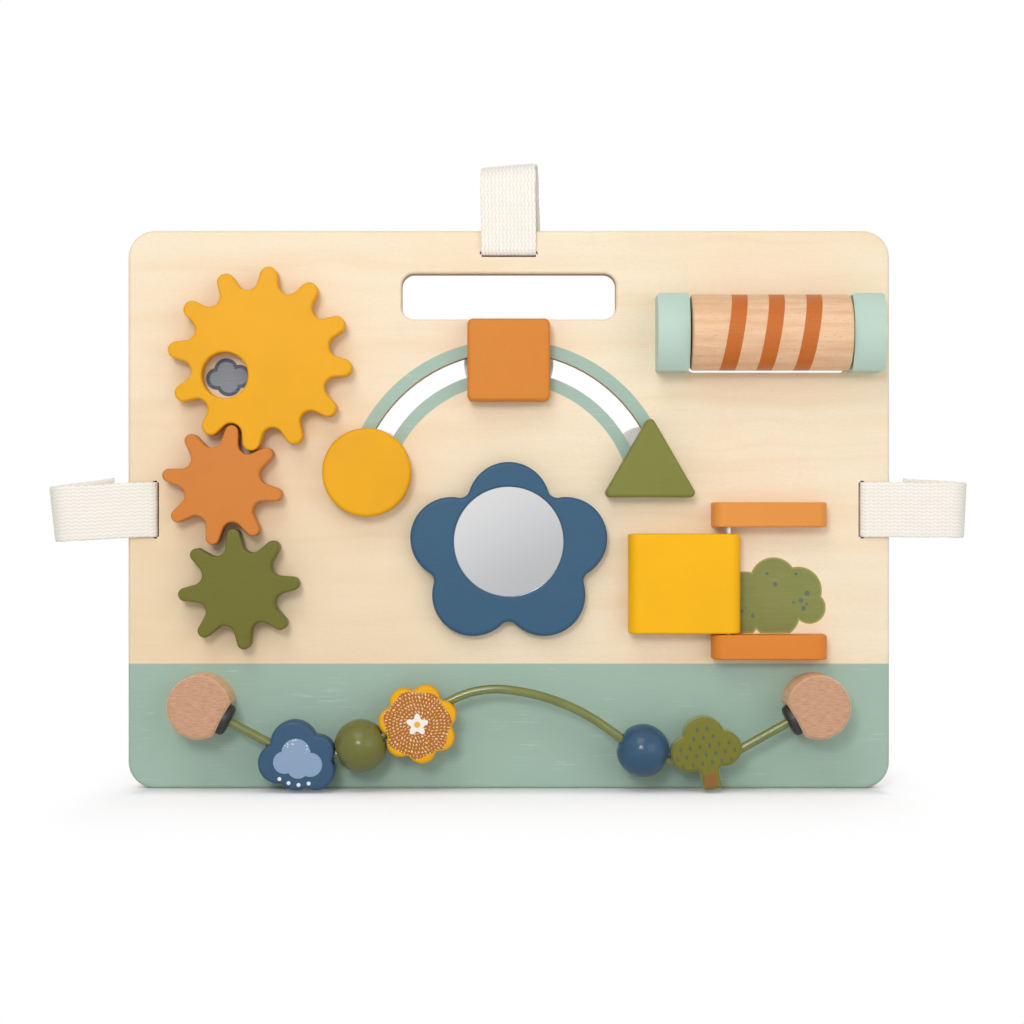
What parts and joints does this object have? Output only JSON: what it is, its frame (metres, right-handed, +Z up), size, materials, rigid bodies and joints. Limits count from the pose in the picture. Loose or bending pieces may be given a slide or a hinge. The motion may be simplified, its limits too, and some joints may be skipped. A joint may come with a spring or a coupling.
{
  "type": "wooden busy board",
  "caption": "Wooden activity panel for a cot with meshed gears, shaped sliders in an arched slot, a striped roller, a hinged door, a mirror, beads on a bent wire and webbing hanging loops",
  "frame": {"origin": "middle of the board's bottom edge, halfway through its thickness", "axes": "+X to the right along the board, +Y through the board toward its back, +Z up"},
  "size_m": [0.48, 0.0528, 0.3275],
  "materials": {
    "board_wood": "pale lacquered birch plywood, with printed bands",
    "yellow_wood": "satin yellow paint on wood",
    "orange_wood": "satin orange paint on wood",
    "green_wood": "satin olive green paint on wood",
    "blue_wood": "satin blue paint on wood",
    "mint_wood": "satin pale mint paint on wood",
    "beech": "bare waxed beech",
    "white_disc": "matt white plastic",
    "steel": "zinc-plated steel",
    "wire_green": "glossy olive green lacquer on steel wire",
    "mirror_face": "acrylic mirror",
    "black_grommet": "black glossy rubber",
    "webbing": "woven cream cotton webbing",
    "hook_and_loop": "cream hook-and-loop tape"
  },
  "bodies": {
    "board": {"board_panel": "board_wood", "roller_axle": "steel", "roller_block_left": "mint_wood", "roller_block_right": "mint_wood", "roller_block_screws": "steel", "hinge_pin": "steel", "door_bar_upper": "orange_wood", "door_bar_lower": "orange_wood", "door_bar_screws": "steel", "mirror_frame": "blue_wood", "mirror_disc": "mirror_face", "mirror_frame_screws": "steel", "post_left": "beech", "post_right": "beech", "grommet_left": "black_grommet", "grommet_right": "black_grommet", "post_screws": "steel", "bead_wire": "wire_green", "strap_top": "webbing", "strap_left": "webbing", "strap_right": "webbing", "strap_top_patch": "hook_and_loop", "strap_left_patch": "hook_and_loop", "strap_right_patch": "hook_and_loop"},
    "roller": {"roller": "beech"},
    "door": {"door": "yellow_wood"},
    "cloud_bead": {"cloud_bead": "blue_wood"},
    "green_ball": {"green_ball": "green_wood"},
    "flower_bead": {"flower_bead": "yellow_wood"},
    "blue_ball": {"blue_ball": "blue_wood"},
    "tree_bead": {"tree_bead": "green_wood"},
    "large_gear": {"large_gear": "yellow_wood", "large_gear_axle": "beech", "large_gear_washer": "steel", "large_gear_screw": "steel"},
    "middle_gear": {"middle_gear": "orange_wood", "middle_gear_axle": "beech", "middle_gear_washer": "steel", "middle_gear_screw": "steel"},
    "lower_gear": {"lower_gear": "green_wood", "lower_gear_axle": "beech", "lower_gear_washer": "steel", "lower_gear_screw": "steel"},
    "circle_knob": {"circle_knob": "yellow_wood", "circle_knob_neck": "beech", "circle_knob_disc": "white_disc", "circle_knob_screw": "steel"},
    "square_knob": {"square_knob": "orange_wood", "square_knob_neck": "beech", "square_knob_disc": "white_disc", "square_knob_screw": "steel"},
    "triangle_knob": {"triangle_knob": "green_wood", "triangle_knob_neck": "beech", "triangle_knob_disc": "white_disc", "triangle_knob_screw": "steel"}
  },
  "joints": [
    {"name": "large_gear_spin", "type": "hinge", "parent": "board", "child": "large_gear", "pos_m": [-0.1293, 0, 0.2249], "axis": [0, 1, 0], "continuous": true},
    {"name": "middle_gear_spin", "type": "hinge", "parent": "board", "child": "middle_gear", "pos_m": [-0.14898, 0, 0.15929], "axis": [0, 1, 0], "continuous": true},
    {"name": "lower_gear_spin", "type": "hinge", "parent": "board", "child": "lower_gear", "pos_m": [-0.14041, 0, 0.10516], "axis": [0, 1, 0], "continuous": true},
    {"name": "circle_knob_slide", "type": "hinge", "parent": "board", "child": "circle_knob", "pos_m": [0, 0, 0.1484], "axis": [0, 1, 0], "range_deg": [0, 38]},
    {"name": "square_knob_slide", "type": "hinge", "parent": "board", "child": "square_knob", "pos_m": [0, 0, 0.1484], "axis": [0, 1, 0], "range_deg": [-38, 38]},
    {"name": "triangle_knob_slide", "type": "hinge", "parent": "board", "child": "triangle_knob", "pos_m": [0, 0, 0.1484], "axis": [0, 1, 0], "range_deg": [-38, 1]},
    {"name": "roller_spin", "type": "hinge", "parent": "board", "child": "roller", "pos_m": [0.1356, -0.019, 0.2384], "axis": [1, 0, 0], "continuous": true},
    {"name": "door_hinge", "type": "hinge", "parent": "board", "child": "door", "pos_m": [0.1147, -0.014, 0.1079], "axis": [0, 0, 1], "range_deg": [0, 180]},
    {"name": "cloud_bead_slide", "type": "hinge", "parent": "board", "child": "cloud_bead", "pos_m": [-0.09812, -0.0235, 0.07435], "axis": [0, 1, 0], "range_deg": [0, 17]},
    {"name": "green_ball_spin", "type": "hinge", "parent": "board", "child": "green_ball", "pos_m": [-0.07658, -0.0235, 0.02432], "axis": [0.9282, 0, 0.3721], "continuous": true},
    {"name": "flower_bead_slide", "type": "slide", "parent": "board", "child": "flower_bead", "axis": [0.887, 0, 0.4617], "range_m": [0, 0.015]},
    {"name": "blue_ball_slide", "type": "hinge", "parent": "board", "child": "blue_ball", "pos_m": [0.09333, -0.0235, 0.07076], "axis": [0, 1, 0], "range_deg": [0, 10]},
    {"name": "tree_bead_slide", "type": "hinge", "parent": "board", "child": "tree_bead", "pos_m": [0.09333, -0.0235, 0.07076], "axis": [0, 1, 0], "range_deg": [-19, 0]}
  ],
  "couplings": [
    {"joint": "middle_gear_spin", "follows": "large_gear_spin", "ratio": -1.5},
    {"joint": "lower_gear_spin", "follows": "large_gear_spin", "ratio": 1.5}
  ]
}
